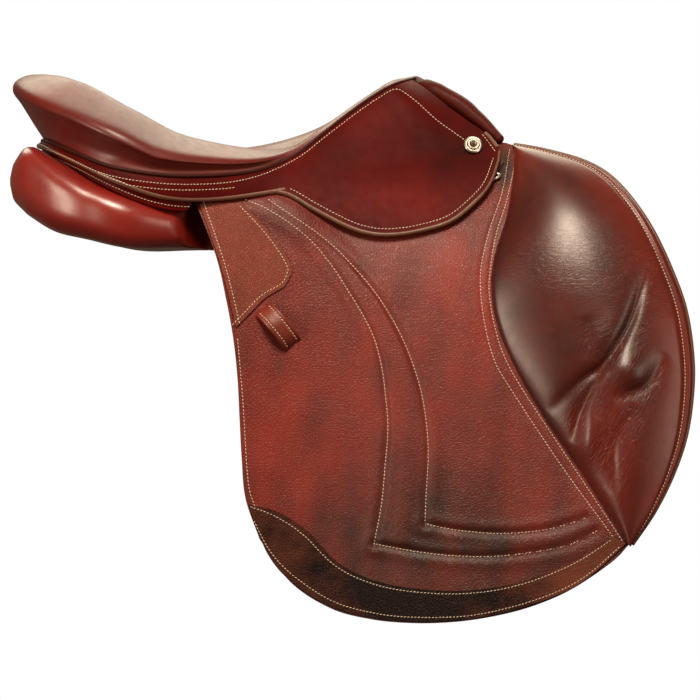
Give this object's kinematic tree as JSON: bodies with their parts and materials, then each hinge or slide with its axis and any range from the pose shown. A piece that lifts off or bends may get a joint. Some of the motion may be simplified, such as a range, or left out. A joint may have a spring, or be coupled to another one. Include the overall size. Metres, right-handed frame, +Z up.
{
  "type": "jumping saddle",
  "caption": "Close-contact jumping saddle with a deep padded seat, forward flaps with knee blocks, lifting skirts, stuffed panels, girth billets and stirrup bars.",
  "frame": {"origin": "on the centre line, level with the panels' bearing on the horse's back, under the seat's deepest part", "axes": "+X towards the horse's head, +Y to the rider's left, +Z up"},
  "size_m": [0.6527, 0.3802, 0.5222],
  "materials": {
    "seat_leather": "smooth calf, waxed",
    "skirt_leather": "smooth, burnished",
    "flap_leather": "fine grain, waxed",
    "block_leather": "soft, creased",
    "hem_leather": "coarse grain",
    "patch_leather": "coarse grain",
    "panel_leather": "soft, glossy",
    "facing_leather": "smooth",
    "welt_leather": "piped",
    "lining_leather": "plain",
    "billet_leather": "bridle finish",
    "tree_wood": "laminated beech",
    "webbing": "woven",
    "foam": "open-cell foam",
    "steel": "brushed",
    "nickel": "polished"
  },
  "bodies": {
    "saddle": {"tree_rails": "tree_wood", "tree_head": "tree_wood", "gullet_plate": "steel", "head_rivets": "steel", "seat_web": "webbing", "seat_foam": "foam", "seat_leather": "seat_leather", "seat_welt": "welt_leather", "pommel_facing": "facing_leather", "rear_facing": "facing_leather", "channel_lining": "lining_leather", "skirt_right": "skirt_leather", "skirt_left": "skirt_leather", "panel_right": "panel_leather", "panel_left": "panel_leather", "sweat_flap_right": "lining_leather", "sweat_flap_left": "lining_leather", "girth_web_right": "webbing", "girth_web_left": "webbing", "stirrup_bar_right": "steel", "stirrup_bar_left": "steel", "point_pocket_right": "lining_leather", "point_pocket_left": "lining_leather", "head_nail_right": "nickel", "head_nail_left": "nickel"},
    "flap_right": {"flap_right": "flap_leather", "knee_block_right": "block_leather", "hem_strip_right": "hem_leather", "rear_patch_right": "patch_leather", "keeper_right": "facing_leather", "dee_chape_right": "billet_leather"},
    "skirt_lobe_right": {"skirt_lobe_right": "skirt_leather"},
    "dee_right": {"dee_ring_right": "nickel"},
    "catch_right": {"bar_catch_right": "steel"},
    "billets_right": {"billet_front_right": "billet_leather", "billet_middle_right": "billet_leather", "billet_rear_right": "billet_leather"},
    "guard_right": {"buckle_guard_right": "billet_leather"},
    "flap_left": {"flap_left": "flap_leather", "knee_block_left": "block_leather", "hem_strip_left": "hem_leather", "rear_patch_left": "patch_leather", "keeper_left": "facing_leather", "dee_chape_left": "billet_leather"},
    "skirt_lobe_left": {"skirt_lobe_left": "skirt_leather"},
    "dee_left": {"dee_ring_left": "nickel"},
    "catch_left": {"bar_catch_left": "steel"},
    "billets_left": {"billet_front_left": "billet_leather", "billet_middle_left": "billet_leather", "billet_rear_left": "billet_leather"},
    "guard_left": {"buckle_guard_left": "billet_leather"}
  },
  "joints": [
    {"name": "flap_lift_right", "type": "hinge", "parent": "saddle", "child": "flap_right", "pos_m": [0.1335, -0.08954, 0.076], "axis": [-0.9635, -0.2001, -0.1776], "range_deg": [0, 80]},
    {"name": "skirt_lift_right", "type": "hinge", "parent": "flap_right", "child": "skirt_lobe_right", "pos_m": [0.1335, -0.08954, 0.076], "axis": [-0.9635, -0.2001, -0.1776], "range_deg": [0, 50]},
    {"name": "dee_swing_right", "type": "hinge", "parent": "flap_right", "child": "dee_right", "pos_m": [0.23357, -0.0744, 0.07567], "axis": [-0.9053, 0.2829, 0.317], "range_deg": [0, 10]},
    {"name": "catch_turn_right", "type": "hinge", "parent": "saddle", "child": "catch_right", "pos_m": [0.14749, -0.0854, 0.06161], "axis": [-0.0421, 0.8272, -0.5603], "range_deg": [0, 45]},
    {"name": "billet_sway_right", "type": "hinge", "parent": "saddle", "child": "billets_right", "pos_m": [0.132, -0.09891, -0.00239], "axis": [0, 0.9852, -0.1716], "range_deg": [-4, 4]},
    {"name": "guard_slide_right", "type": "slide", "parent": "billets_right", "child": "guard_right", "axis": [0, -0.1716, -0.9852], "range_m": [0, 0.03]},
    {"name": "flap_lift_left", "type": "hinge", "parent": "saddle", "child": "flap_left", "pos_m": [0.1335, 0.08954, 0.076], "axis": [0.9635, -0.2001, 0.1776], "range_deg": [0, 80]},
    {"name": "skirt_lift_left", "type": "hinge", "parent": "flap_left", "child": "skirt_lobe_left", "pos_m": [0.1335, 0.08954, 0.076], "axis": [0.9635, -0.2001, 0.1776], "range_deg": [0, 50]},
    {"name": "dee_swing_left", "type": "hinge", "parent": "flap_left", "child": "dee_left", "pos_m": [0.23357, 0.0744, 0.07567], "axis": [0.9053, 0.2829, -0.317], "range_deg": [0, 10]},
    {"name": "catch_turn_left", "type": "hinge", "parent": "saddle", "child": "catch_left", "pos_m": [0.14749, 0.0854, 0.06161], "axis": [0.0421, 0.8272, 0.5603], "range_deg": [0, 45]},
    {"name": "billet_sway_left", "type": "hinge", "parent": "saddle", "child": "billets_left", "pos_m": [0.132, 0.09891, -0.00239], "axis": [0, 0.9852, 0.1716], "range_deg": [-4, 4]},
    {"name": "guard_slide_left", "type": "slide", "parent": "billets_left", "child": "guard_left", "axis": [0, 0.1716, -0.9852], "range_m": [0, 0.03]}
  ]
}
